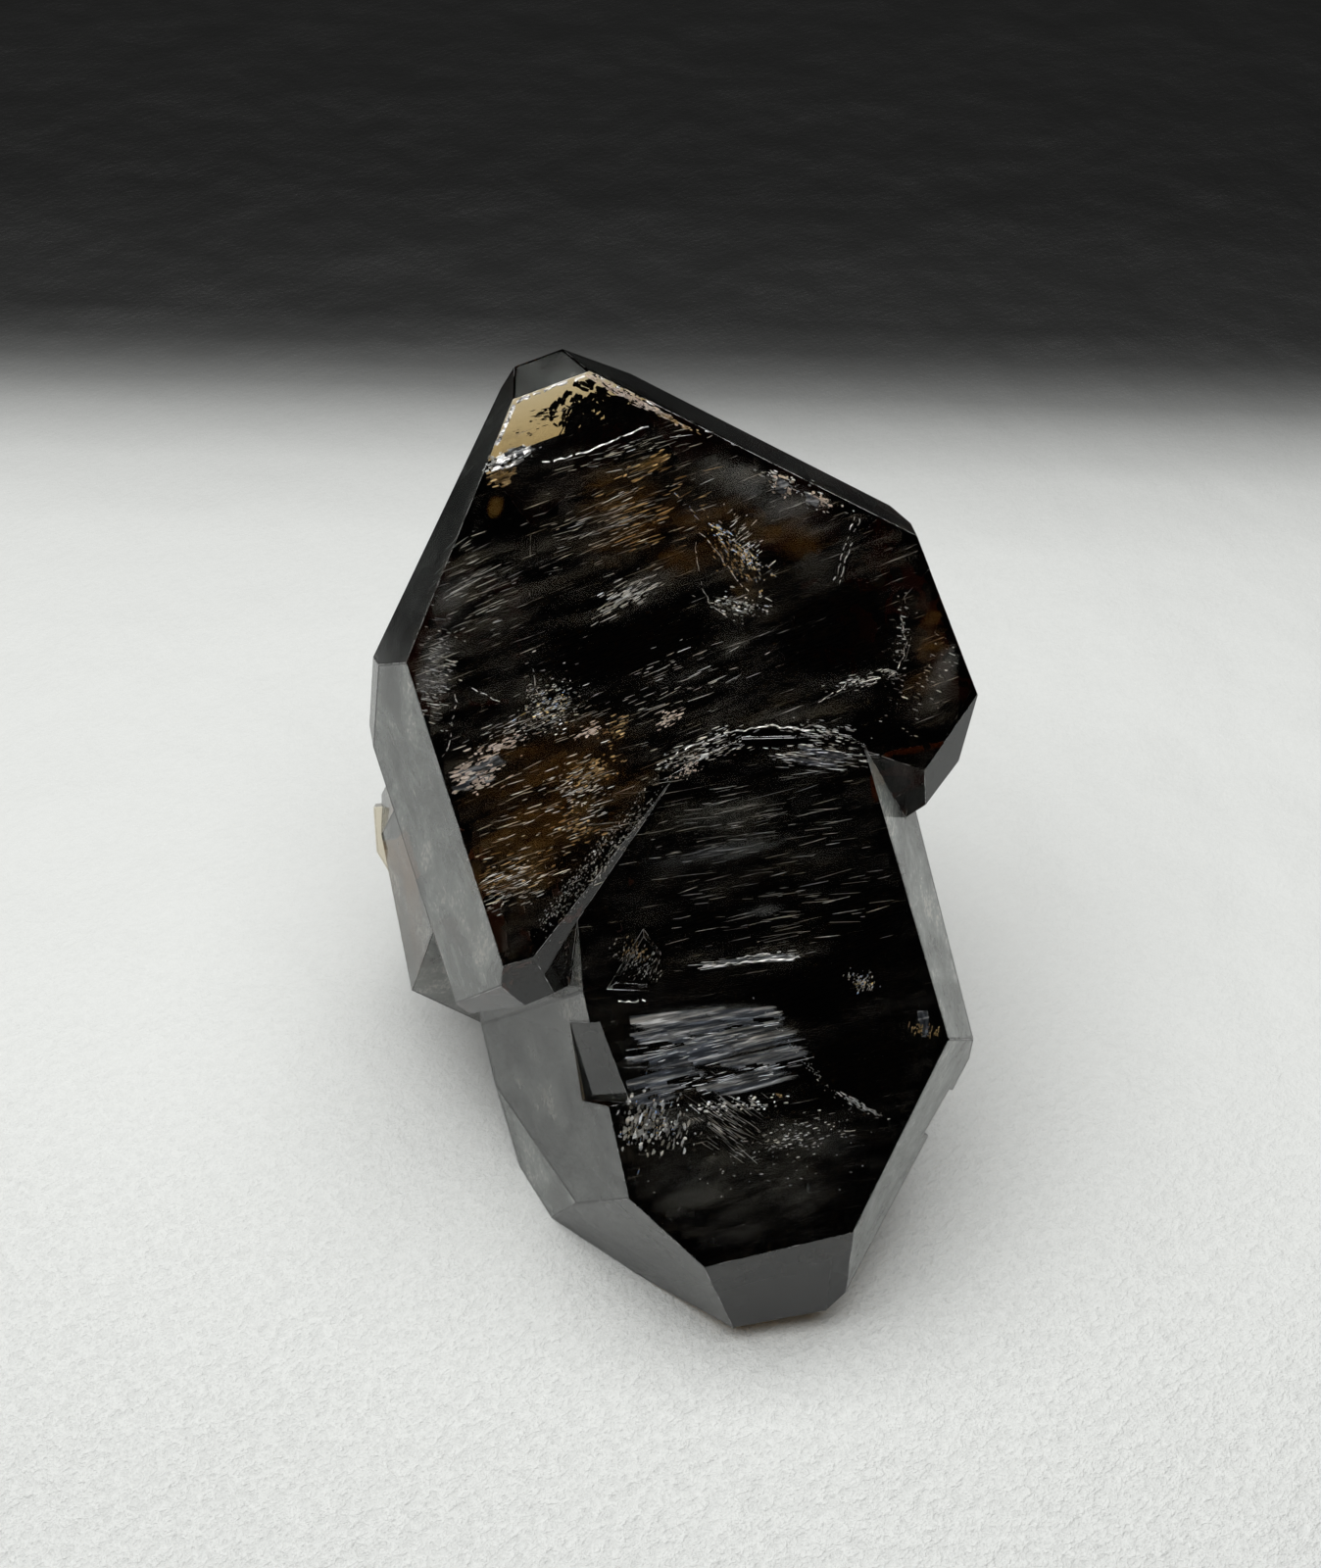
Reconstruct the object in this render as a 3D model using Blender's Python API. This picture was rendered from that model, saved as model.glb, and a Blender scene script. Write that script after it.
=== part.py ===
"""Smoky herkimer diamond: doubly ended quartz crystals grown into one another.

The group is drawn on the plane of its broad front faces, in millimetres: u runs to the
right, v up the slope and w straight out of the faces. That plane leans back on the surface
that the crystals rest on. Every crystal is a block cut by its natural faces.
"""

import math

import bmesh
import bpy
from mathutils import Matrix, Vector

MM = 0.001
NAME = "herkimer_crystal"

FACE_LOOKS_UP = 48.0  # degrees from level to the line straight out of the front faces
DRAWING_HEIGHT = 16.7  # of the drawing's origin over the surface it rests on
MIDDLE = (0.0, 0.43)  # middle of the group seen from above, moved onto the origin
BLOCK = 70.0  # side of the rough block that each crystal is cut from

SLOPE = 38.2  # turn of quartz's termination face away from the side face under it
SIDE_SLOPE = 66.9  # turn of the two termination faces beside that one

SMOKE = (0.62, 0.58, 0.52, 1.0)
REFRACTION = 1.544
POLISH = 0.03

# A face is (turn, lean, point). Turn is the direction on the drawing that the face looks
# towards, anticlockwise from u. Lean is the angle between the face and the drawing plane.
# The point (u, v, w) lies on the face.

UPPER_FACES = {
    "front": (0, 0, (0, 0, 0)),
    "top": (110.3, SLOPE, (-2.32, 13.6, 0)),
    "top left": (157.8, 62, (-8.39, 4.0, 0)),
    "top right": (63.3, SIDE_SLOPE, (8.15, 8.32, 0)),
    "left": (197.7, 62, (-8.39, 4.0, 0)),
    "right": (21, 84, (8.4, 8.3, 0)),
    "bottom right": (326, 57, (9.3, 1.5, 0)),
    "bottom": (286.7, 42, (-4.2, -5.7, 0)),
    "bottom left": (245.7, SIDE_SLOPE, (-5.25, -6.7, -0.5)),
    "under": (294, 95, (-4.45, -7.4, -1.3)),
    "back": (90, 132, (0, 9.99, -7.09)),
    "bottom end": (285, 125, (0, 0, -16.5)),
    "top left back": (150, 112, (-6.42, 11.03, -1.76)),
    "top right back": (62.5, 113, (3.95, 11.55, -1.5)),
    "left corner": (187, 71.4, (-9.68, 3.46, -2.63)),
    "left back": (198, 118, (-10.08, 1.4, -4.55)),
    "right back": (20.3, 112, (10.5, 3.2, -0.8)),
    "right end back": (354, 100, (10.06, 1.09, -1.6)),
    "bottom right back": (321, 105, (9.92, 0.63, -1.54)),
    "bottom left back": (226, 105, (-7.0, -7.9, -4.4)),
}

LOWER_FACES = {
    "front": (275.3, 5, (0.52, 0.32, 0)),
    "high left": (186.4, 63, (-2.7, -5.0, -0.4)),
    "left": (195, 62, (-2.4, -7.8, -0.7)),
    "left outline": (199.5, 66, (-4.17, -13.55, -6.75)),
    "bottom left": (229, 63.5, (-1.05, -13.9, -1.22)),
    "bottom": (282.6, 43, (3.6, -15.7, -1.4)),
    "bottom right": (332.2, 64, (6.35, -15.2, -1.3)),
    "right": (14.4, 66, (7.4, -0.8, -0.3)),
    "top": (91, 50, (4.55, 1.5, 0.1)),
    "top left": (118, 60, (1.65, 0.95, 0.06)),
    "top right": (60, 60, (6.9, 1.1, 0.07)),
    "top back": (102.3, 116, (2, 2, -7)),
    "left back": (191, 118, (-5.9, -11.0, -9.6)),
    "right back": (13.8, 112, (10.22, -7.0, -3.4)),
    "bottom back": (278, 126, (1.5, -18.8, -4.5)),
    "bottom right back": (332, 110, (10.05, -10.3, -4.3)),
    "bottom left back": (228.6, 118, (-6.2, -15.6, -8.4)),
    "back": (0, 180, (0, 0, -15.5)),
}

THIRD_FACES = {
    "front": (284, 8, (-8.1, -5.2, -5.9)),
    "left": (191, 66, (-8.1, -5.2, -6.0)),
    "bottom": (284, 60, (-8.1, -5.2, -6.0)),
    "right": (11, 66, (-3.0, -5.0, -6.0)),
    "top": (101, SLOPE, (-8.0, -0.6, -6.0)),
    "top left": (176, 72, (-10.35, -3.1, -9.2)),
    "left back": (191, 118, (-10.4, -3.0, -9.4)),
    "bottom back": (225, 97, (-9.9, -8.3, -9.9)),
    "right back": (11, 118, (-2.5, -5.0, -9.0)),
    "top back": (101, 112, (-8.0, 0.8, -8.5)),
    "back": (101, 170, (-6.0, -4.0, -15.0)),
}

BLADE_FACES = {
    "front": (0, 0, (0, 0, -9.9)),
    "left": (184, 90, (-10.7, -1.65, -10.2)),
    "top": (95, 80, (-10.6, -0.8, -10.2)),
    "bottom": (211.5, 90, (-10.6, -2.6, -10.2)),
    "right": (0, 90, (-9.4, 0, -10.2)),
    "back": (0, 180, (0, 0, -10.6)),
}

# The upper crystal's tip is thin: its back ends in a short termination face, and the rest of
# the crystal steps out below that. These are the faces of what is missing there.
TIP_STEP = {
    "termination": (290.3, SLOPE, (-3.3, 14.55, -0.9)),
    "step": (290.3, 68, (-4.27, 11.45, -2.95)),
}

# The front of the upper crystal is missing where the lower one grew over it. These are the
# faces of what is missing, turned the other way from the crystal's own.
OVERGROWN = {
    "ledge": (142, 135, (0.52, 0.32, 0)),
    "under": (95.3, 169.5, (0.52, 0.32, -0.3)),
    "top": (95.3, 120, (0.52, 0.32, 0)),
    "right end": (14.4, 90, (6.8, 0.9, 0)),
}

# Broken corner between the upper crystal's right end and the lower crystal's side.
RIGHT_BREAK = {
    "break": (74, 130.4, (7.6, 0.9, 0)),
    "left end": (180, 90, (6.7, 0, 0)),
}

# The upper front is a little lower beyond the rounded rim of its last growth layer.
LOW_LEVEL = {
    "floor": (180, 177, (5.7, 3.0, 0)),
    "top": (139, 90, (8.2, 6.35, 0)),
}

GROWTH_LAYER = {
    "right": (9.5, 90, (8.12, 5.6, 0)),
    "low right": (345, 90, (8.25, 4.75, 0)),
    "corner": (325, 90, (8.02, 4.05, 0)),
    "low corner": (305, 90, (7.75, 3.73, 0)),
    "low": (291, 90, (7.12, 3.46, 0)),
}

# Set-back face on the lower crystal's left edge.
EDGE_STEP = {
    "face": (24, 126.7, (-1.47, -9.4, -0.83)),
    "top": (95, 92, (-2.2, -7.95, -1.3)),
    "bottom": (278, 92, (-1.9, -10.75, -1.6)),
    "slit": (183.3, 110, (-2.8, -9.3, -2.6)),
}

# Rough triangular pit in the lower crystal's front.
PIT = {
    "left": (146.7, 120, (-1.25, -5.9, -0.5)),
    "top right": (38, 120, (-0.3, -5.2, -0.5)),
    "right": (346, 120, (-0.15, -6.3, -0.5)),
    "bottom": (267, 130, (-1.1, -6.85, -0.6)),
    "floor": (95.3, 175, (0.52, 0.32, -0.25)),
}

# Chipped place on the lower crystal's outer right edge.
CHIP = {
    "floor": (150, 93, (9.52, -11.3, -3.74)),
    "top": (66, 95, (9.95, -10.6, -4.3)),
    "bottom": (250, 95, (9.5, -12.2, -4.3)),
}


def drawing_to_world():
    """Matrix from the drawing in millimetres to the world in metres, with v up the slope."""
    up = math.radians(FACE_LOOKS_UP)
    turn = Matrix.Rotation(math.pi / 2 - up, 4, "X")
    place = Matrix.Translation((-MIDDLE[0], -MIDDLE[1], DRAWING_HEIGHT))
    return Matrix.Scale(MM, 4) @ place @ turn


def cut(shape, point, outward):
    """Takes off what lies beyond a plane and closes the cut with one flat face."""
    everything = shape.verts[:] + shape.edges[:] + shape.faces[:]
    result = bmesh.ops.bisect_plane(
        shape, geom=everything, dist=1e-5, plane_co=point, plane_no=outward, clear_outer=True
    )
    rim = [part for part in result["geom_cut"] if isinstance(part, bmesh.types.BMEdge)]
    bmesh.ops.contextual_create(shape, geom=rim)


def facing(turn, lean):
    """Direction that a face looks in, on the drawing."""
    turn, lean = math.radians(turn), math.radians(lean)
    return Vector((math.cos(turn) * math.sin(lean), math.sin(turn) * math.sin(lean), math.cos(lean)))


def crystal(name, faces, collection):
    """A block cut by every face in the table, in the world."""
    shape = bmesh.new()
    bmesh.ops.create_cube(shape, size=BLOCK)
    for turn, lean, point in faces.values():
        cut(shape, Vector(point), facing(turn, lean))
    bmesh.ops.recalc_face_normals(shape, faces=shape.faces[:])
    shape.transform(drawing_to_world())
    mesh = bpy.data.meshes.new(name)
    shape.to_mesh(mesh)
    shape.free()
    thing = bpy.data.objects.new(name, mesh)
    collection.objects.link(thing)
    return thing


def resting_surface(collection):
    """A block whose top is the level surface, which trims every crystal that reaches it."""
    shape = bmesh.new()
    bmesh.ops.create_cube(shape, size=BLOCK * MM)
    bmesh.ops.translate(shape, verts=shape.verts[:], vec=(0, 0, -BLOCK * MM / 2))
    mesh = bpy.data.meshes.new("resting surface")
    shape.to_mesh(mesh)
    shape.free()
    thing = bpy.data.objects.new("resting surface", mesh)
    collection.objects.link(thing)
    return thing


def new_collection(name):
    collection = bpy.data.collections.new(name)
    bpy.context.scene.collection.children.link(collection)
    return collection


def combine(body, other, operation):
    """Joins another solid to the body, or takes it away."""
    change = body.modifiers.new(other.name, "BOOLEAN")
    change.operation = operation
    change.solver = "EXACT"
    change.object = other
    other.hide_render = True
    other.display_type = "WIRE"


def smoky_quartz():
    """Clear, faintly brown and polished."""
    material = bpy.data.materials.new("smoky quartz")
    material.use_nodes = True
    surface = material.node_tree.nodes["Principled BSDF"]
    surface.inputs["Base Color"].default_value = SMOKE
    surface.inputs["Metallic"].default_value = 0.0
    surface.inputs["Roughness"].default_value = POLISH
    surface.inputs["IOR"].default_value = REFRACTION
    surface.inputs["Transmission Weight"].default_value = 1.0
    return material


def main():
    for thing in list(bpy.data.objects):
        bpy.data.objects.remove(thing)
    parts = new_collection("herkimer diamond")
    cutters = new_collection("cutters")
    body = crystal(NAME, UPPER_FACES, parts)
    body.data.materials.append(smoky_quartz())
    low_level = crystal("low level", LOW_LEVEL, cutters)
    combine(low_level, crystal("growth layer", GROWTH_LAYER, cutters), "DIFFERENCE")
    combine(body, low_level, "DIFFERENCE")
    combine(body, crystal("overgrown front", OVERGROWN, cutters), "DIFFERENCE")
    combine(body, crystal("right break", RIGHT_BREAK, cutters), "DIFFERENCE")
    combine(body, crystal("tip step", TIP_STEP, cutters), "DIFFERENCE")
    combine(body, crystal("lower crystal", LOWER_FACES, cutters), "UNION")
    combine(body, crystal("edge step", EDGE_STEP, cutters), "DIFFERENCE")
    combine(body, crystal("pit", PIT, cutters), "DIFFERENCE")
    combine(body, crystal("chip", CHIP, cutters), "DIFFERENCE")
    combine(body, crystal("third crystal", THIRD_FACES, cutters), "UNION")
    combine(body, crystal("blade", BLADE_FACES, cutters), "UNION")
    combine(body, resting_surface(cutters), "DIFFERENCE")


main()
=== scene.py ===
"""Smoky herkimer diamond: the crystal group, its inclusions and a plain studio.

The frame's solid becomes clear smoky quartz with worn edges. The streaks, veils, cracks and
sparkles inside it are thin films and flakes, laid out on the drawing plane of the broad front
faces in millimetres: u to the right, v up the slope and w straight out of the faces.
"""

import math
import random

import bmesh
import bpy
from mathutils import Matrix, Vector, noise
from mathutils.bvhtree import BVHTree


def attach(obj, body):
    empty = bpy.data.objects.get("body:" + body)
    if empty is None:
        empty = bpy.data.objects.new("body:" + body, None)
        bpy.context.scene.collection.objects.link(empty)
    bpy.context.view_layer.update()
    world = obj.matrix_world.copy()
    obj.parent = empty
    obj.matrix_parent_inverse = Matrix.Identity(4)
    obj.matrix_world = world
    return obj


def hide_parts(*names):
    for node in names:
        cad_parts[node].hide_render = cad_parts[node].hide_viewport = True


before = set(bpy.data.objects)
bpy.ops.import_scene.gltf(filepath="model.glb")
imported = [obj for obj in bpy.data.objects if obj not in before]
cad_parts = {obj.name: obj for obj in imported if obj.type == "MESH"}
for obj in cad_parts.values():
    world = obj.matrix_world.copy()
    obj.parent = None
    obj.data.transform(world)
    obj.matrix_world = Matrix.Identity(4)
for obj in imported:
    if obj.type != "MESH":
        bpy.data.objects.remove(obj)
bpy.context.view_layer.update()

bl_info = {
    "name": "Herkimer diamond",
    "version": (1, 0, 0),
    "blender": (4, 5, 0),
    "location": "3D View > Sidebar > Herkimer diamond",
    "description": "Smoky quartz crystals with their inclusions, on a pale surface",
    "category": "Object",
}

NODE = "herkimer_crystal"
MM = 0.001

FACE_LOOKS_UP = 48.0  # degrees from level to the line straight out of the front faces
DRAWING_HEIGHT = 16.7  # of the drawing's origin over the surface, in mm
MIDDLE = (0.0, 0.43)  # of the group on the drawing, seen from above, in mm
EYE_DISTANCE = 71.7  # from the drawing's origin to the camera, in mm
TILT = math.radians(90 - FACE_LOOKS_UP)

DRAWING = (
    Matrix.Scale(MM, 4)
    @ Matrix.Translation((-MIDDLE[0], -MIDDLE[1], DRAWING_HEIGHT))
    @ Matrix.Rotation(TILT, 4, "X")
)

# The ledge over the lower crystal, on the drawing in mm.
CORNER = (0.52, 0.32)  # where it turns
LEDGE_TOP = 1.5  # highest v
LEDGE_SLOPE = 0.57  # of its right arm, up for each step to the right
LEDGE_LEFT = (4.11, 5.26)  # run and rise of its left arm

# The two broad faces, as a point on each and the direction that it looks in.
UPPER = (Vector((0, 0, 0)), Vector((0, 0, 1)))
LOWER = (Vector((*CORNER, 0)), Vector((0.00805, -0.08679, 0.99619)))

FACES_LIGHT = -12.5  # roll in degrees at which a flake glints in the overhead light
GLINT = Vector((-0.06, 0.22, 0.97))  # where a film looks to send the overhead light to the eye

# Thickness of the inclusions, and how far they keep from the quartz's faces, in mm.
FILM, CRACK_FILM, FLAKE = 0.008, 0.006, 0.006
FILM_MARGIN, CRACK_MARGIN, FLAKE_MARGIN = 0.05, 0.02, 0.03

CLUSTER_SPREAD = 0.52  # of the flakes round a cluster's middle, next to its half size
BATCH = 500  # vertices after which flakes are passed on to the whole mesh
GROUND_COVER = 0.16  # how thick the streaks lie away from their zones
MOST_COVER = 1.3
CRACK_STEP = 0.12  # length of a crack's pieces, in mm
BOLD_CRACK = 0.055  # width from which a crack is nearly whole, in mm
BOLD_GAPS, FINE_GAPS = 0.06, 0.3  # share of a bold and a fine crack that is left out
FLAKE_GRAIN = 20  # heading of the ridges on flakes and cracks

SHARP = math.radians(8)  # angle from which an edge is worn
SAME_WAY = 0.9998  # cosine from which two faces look the same way
HAZE_RIM, HAZE_DEPTH = 0.07, 0.05  # clear rim of a hazy face and depth of its haze, in mm

# The studio, in metres.
FLOOR_HALF = 1.2
LAMP_SIZE = (0.40, 0.33)
LAMP_PLACE = (-0.05, 0.03, 0.30)
ROOM_LIGHT = 0.010


# Settings


class QuartzSettings(bpy.types.PropertyGroup):
    refraction: bpy.props.FloatProperty(
        name="Refraction", description="How strongly the quartz bends light", default=1.544
    )
    smoke: bpy.props.FloatVectorProperty(
        name="Smoke", description="Colour that is left after a path through the quartz",
        subtype="COLOR", size=3, default=(0.66, 0.50, 0.13),
    )
    smoke_density: bpy.props.FloatProperty(
        name="Smoke density", description="Darkening for each metre of path", default=760.0
    )
    edge_wear: bpy.props.FloatProperty(
        name="Edge wear", description="Width of the worn edges", subtype="DISTANCE", unit="LENGTH",
        default=0.00004,
    )


class InclusionSettings(bpy.types.PropertyGroup):
    silver: bpy.props.FloatVectorProperty(
        name="Silver", description="Colour of the bright gas films", subtype="COLOR", size=3,
        default=(0.85, 0.86, 0.88),
    )
    gold: bpy.props.FloatVectorProperty(
        name="Gold", description="Colour of the stained films", subtype="COLOR", size=3,
        default=(0.82, 0.62, 0.34),
    )
    density: bpy.props.FloatProperty(
        name="Density", description="How many flakes there are, next to the natural number",
        default=1.0, min=0.0, max=2.0,
    )


class StudioSettings(bpy.types.PropertyGroup):
    surface: bpy.props.FloatVectorProperty(
        name="Surface", description="Colour of the pale surface", subtype="COLOR", size=3,
        default=(0.85, 0.865, 0.84),
    )
    light: bpy.props.FloatProperty(
        name="Light", description="Power of the soft overhead light, in watts", default=1.36
    )
    lens: bpy.props.FloatProperty(
        name="Lens", description="Focal length in millimetres", default=50.0
    )


# Shader helpers


class Value:
    """A number inside a shader, so that shader maths is written as ordinary maths."""

    def __init__(self, shade, socket):
        self.shade = shade
        self.socket = socket

    def math(self, operation, *terms):
        node = self.shade.node("Math", {"operation": operation}, dict(enumerate(terms)))
        return Value(self.shade, node.outputs[0])

    def __add__(self, other):
        return self.math("ADD", self, other)

    def __mul__(self, other):
        return self.math("MULTIPLY", self, other)

    def between(self, low, high):
        """0 below low, 1 above high, smooth in between."""
        node = self.shade.node(
            "MapRange", {"interpolation_type": "SMOOTHSTEP"},
            {"Value": self, "From Min": low, "From Max": high},
        )
        return Value(self.shade, node.outputs["Result"])


class Shade:
    """One material and the nodes it is made of."""

    def __init__(self, name):
        self.material = bpy.data.materials.new(name)
        self.material.use_nodes = True
        self.tree = self.material.node_tree
        self.tree.nodes.clear()

    def node(self, kind, settings=(), sockets=()):
        made = self.tree.nodes.new("ShaderNode" + kind)
        for name, value in dict(settings).items():
            if name == "stops":
                self.set_stops(made.color_ramp, value)
            else:
                setattr(made, name, value)
        for name, value in dict(sockets).items():
            self.feed(made.inputs[name], value)
        return made

    def feed(self, target, value):
        if isinstance(value, Value):
            value = value.socket
        if isinstance(value, bpy.types.NodeSocket):
            self.tree.links.new(value, target)
        else:
            target.default_value = value

    def set_stops(self, ramp, stops):
        while len(ramp.elements) < len(stops):
            ramp.elements.new(1.0)
        for element, (position, colour) in zip(ramp.elements, stops):
            element.position = position
            element.color = (*colour, 1.0)

    def on_drawing(self):
        """Object coordinates turned onto the drawing, in millimetres."""
        place = Matrix.Rotation(-TILT, 3, "X") @ Vector((MIDDLE[0], MIDDLE[1], -DRAWING_HEIGHT))
        where = self.node("TexCoord").outputs["Object"]
        return self.node(
            "Mapping", {"vector_type": "POINT"},
            {"Vector": where, "Location": place, "Rotation": (-TILT, 0, 0),
             "Scale": (1 / MM,) * 3},
        ).outputs[0]

    def along(self, vector, heading, scale):
        """Coordinates that run along a heading on the drawing, stretched by scale."""
        turned = self.node(
            "Mapping", {"vector_type": "POINT"},
            {"Vector": vector, "Rotation": (0, 0, -math.radians(heading))},
        ).outputs[0]
        return self.node(
            "Mapping", {"vector_type": "POINT"}, {"Vector": turned, "Scale": scale}
        ).outputs[0]

    def noise(self, vector, scale, detail, roughness=0.55, distortion=0.0):
        node = self.node(
            "TexNoise", {"noise_dimensions": "3D"},
            {"Vector": vector, "Scale": scale, "Detail": detail, "Roughness": roughness,
             "Distortion": distortion},
        )
        return Value(self, node.outputs["Fac"])

    def attribute(self, name):
        return Value(self, self.node("Attribute", {"attribute_name": name}).outputs["Fac"])

    def mix(self, factor, first, second):
        node = self.node(
            "Mix", {"data_type": "RGBA"}, {0: factor, 6: as_colour(first), 7: as_colour(second)}
        )
        return node.outputs[2]

    def bump(self, height, strength, distance):
        node = self.node(
            "Bump", {}, {"Height": height, "Strength": strength, "Distance": distance}
        )
        return node.outputs["Normal"]

    def finish(self, surface, volume=None):
        output = self.node("OutputMaterial", {}, {"Surface": surface.outputs[0]})
        if volume:
            self.feed(output.inputs["Volume"], volume.outputs[0])
        return self.material


def as_colour(value):
    """A plain colour gets its fourth number; a socket is left alone."""
    return (*value, 1.0) if isinstance(value, (tuple, list)) and len(value) == 3 else value


# Mesh helpers


def finished(name, shape, material):
    """Turns a mesh in the making into a piece."""
    mesh = bpy.data.meshes.new(name)
    shape.to_mesh(mesh)
    shape.free()
    mesh.materials.append(material)
    piece = bpy.data.objects.new(name, mesh)
    bpy.context.scene.collection.objects.link(piece)
    return piece


def rider(name, shape, material):
    """A piece made on the drawing, which rides on the group."""
    shape.transform(DRAWING)
    piece = finished(name, shape, material)
    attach(piece, "root")


def merged_solid():
    """The frame's solid as a mesh in the making, its loose triangles joined into faces."""
    shape = bmesh.new()
    shape.from_mesh(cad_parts[NODE].data)
    bmesh.ops.remove_doubles(shape, verts=shape.verts[:], dist=1e-7)
    bmesh.ops.dissolve_limit(
        shape, angle_limit=math.radians(0.3), verts=shape.verts[:], edges=shape.edges[:]
    )
    return shape


def drawn_solid():
    """The same solid, turned onto the drawing."""
    shape = merged_solid()
    shape.transform(DRAWING.inverted())
    return shape


class Inside:
    """Tells whether a point of the drawing lies in the quartz, clear of its faces."""

    def __init__(self):
        shape = drawn_solid()
        bmesh.ops.triangulate(shape, faces=shape.faces[:])
        self.tree = BVHTree.FromBMesh(shape)
        shape.free()

    def __call__(self, point, margin):
        place, normal, _, distance = self.tree.find_nearest(point)
        return distance > margin and (point - place).dot(normal) < 0


def under(face, u, v, depth):
    """The point of the drawing that lies a depth under a broad face."""
    point, normal = face
    rise = -((u - point.x) * normal.x + (v - point.y) * normal.y) / normal.z
    return Vector((u, v, rise - depth))


def absorb(whole, part):
    """Adds a finished part to a bigger mesh in the making."""
    mesh = bpy.data.meshes.new("part")
    part.to_mesh(mesh)
    part.free()
    whole.from_mesh(mesh)
    bpy.data.meshes.remove(mesh)


def thicken(shape, thickness):
    """Gives a film its second side, so that it is closed."""
    bmesh.ops.solidify(shape, geom=shape.faces[:], thickness=thickness)
    bmesh.ops.recalc_face_normals(shape, faces=shape.faces[:])


def add_flake(shape, draw, centre, length, width, heading, roll, pitch):
    """A thin flake with an uneven rim, closed on both sides."""
    turn = (
        Matrix.Rotation(math.radians(heading), 4, "Z")
        @ Matrix.Rotation(math.radians(roll), 4, "X")
        @ Matrix.Rotation(math.radians(pitch), 4, "Y")
    )
    size = Matrix.Diagonal((length / 2, width / 2, FLAKE / 2, 1))
    made = bmesh.ops.create_uvsphere(
        shape, u_segments=6, v_segments=2, radius=1,
        matrix=Matrix.Translation(centre) @ turn @ size,
    )
    for vertex in made["verts"]:
        vertex.co = centre.lerp(vertex.co, draw.uniform(0.5, 1.0))


def flakes(clusters, inside, seed, density):
    """All the flakes of one kind, from a table of clusters."""
    draw = random.Random(seed)
    whole = bmesh.new()
    part = bmesh.new()
    for face, middle, half, heading, number, lengths, widths, depths, roll in clusters:
        lean = math.radians(heading)
        for _ in range(round(number * density)):
            x = half[0] * draw.gauss(0, CLUSTER_SPREAD)
            y = half[1] * draw.gauss(0, CLUSTER_SPREAD)
            u = middle[0] + x * math.cos(lean) - y * math.sin(lean)
            v = middle[1] + x * math.sin(lean) + y * math.cos(lean)
            length = draw.uniform(*lengths) * draw.uniform(0.4, 1.0)
            width = draw.uniform(*widths)
            centre = under(face, u, v, draw.uniform(*depths))
            turned = heading + draw.gauss(0, 4)
            end = Vector((math.cos(math.radians(turned)), math.sin(math.radians(turned)), 0))
            roll_by, pitch_by = draw.gauss(FACES_LIGHT, roll), draw.gauss(0, 3)
            tests = (centre, centre + end * length / 2, centre - end * length / 2)
            if all(inside(point, FLAKE_MARGIN + width / 3) for point in tests):
                add_flake(part, draw, centre, length, width, turned, roll_by, pitch_by)
            if len(part.verts) > BATCH:
                absorb(whole, part)
                part = bmesh.new()
    absorb(whole, part)
    return whole


def in_lower(u, v):
    """Whether a point of the drawing lies on the lower crystal's side of the ledge."""
    right, up = u - CORNER[0], v - CORNER[1]
    under_ledge = v < min(LEDGE_TOP, CORNER[1] + LEDGE_SLOPE * right)
    return under_ledge and LEDGE_LEFT[1] * right > LEDGE_LEFT[0] * up


def add_streak_sheet(whole, inside, face, middle, half, zones, stained, depth, tips):
    """A film right across a crystal; its cover says how thick the streaks lie."""
    part = bmesh.new()
    cover = part.verts.layers.float.new("cover")
    stain = part.verts.layers.float.new("stain")
    bmesh.ops.create_grid(part, x_segments=44, y_segments=44, size=1)
    for vertex in part.verts:
        u, v = middle[0] + half[0] * vertex.co.x, middle[1] + half[1] * vertex.co.y
        spot = under(face, u, v, depth)
        rise = 0.10 * noise.noise(spot * 0.7 + Vector((depth * 9, 0, 0)))
        rise += math.tan(math.radians(tips[0])) * (v - middle[1])
        rise += math.tan(math.radians(tips[1])) * (u - middle[0])
        vertex.co = spot + Vector((0, 0, rise))
        vertex[cover] = cover_at(u, v, zones, GROUND_COVER)
        vertex[stain] = cover_at(u, v, stained, 0.0)
    outside = [vertex for vertex in part.verts
               if in_lower(vertex.co.x, vertex.co.y) != (face is LOWER)
               or not inside(vertex.co, FILM_MARGIN)]
    bmesh.ops.delete(part, geom=outside, context="VERTS")
    thicken(part, FILM)
    absorb(whole, part)


def cover_at(u, v, zones, ground):
    """How thick the cover lies at a point of the drawing, from a table of zones."""
    level = ground
    for middle, half, heading, amount in zones:
        lean = math.radians(heading)
        x, y = u - middle[0], v - middle[1]
        along = (x * math.cos(lean) + y * math.sin(lean)) / half[0]
        across = (y * math.cos(lean) - x * math.sin(lean)) / half[1]
        level += amount * max(0.0, 1 - 0.55 * (along ** 2 + across ** 2)) ** 2
    return max(0.0, min(MOST_COVER, level))


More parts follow.
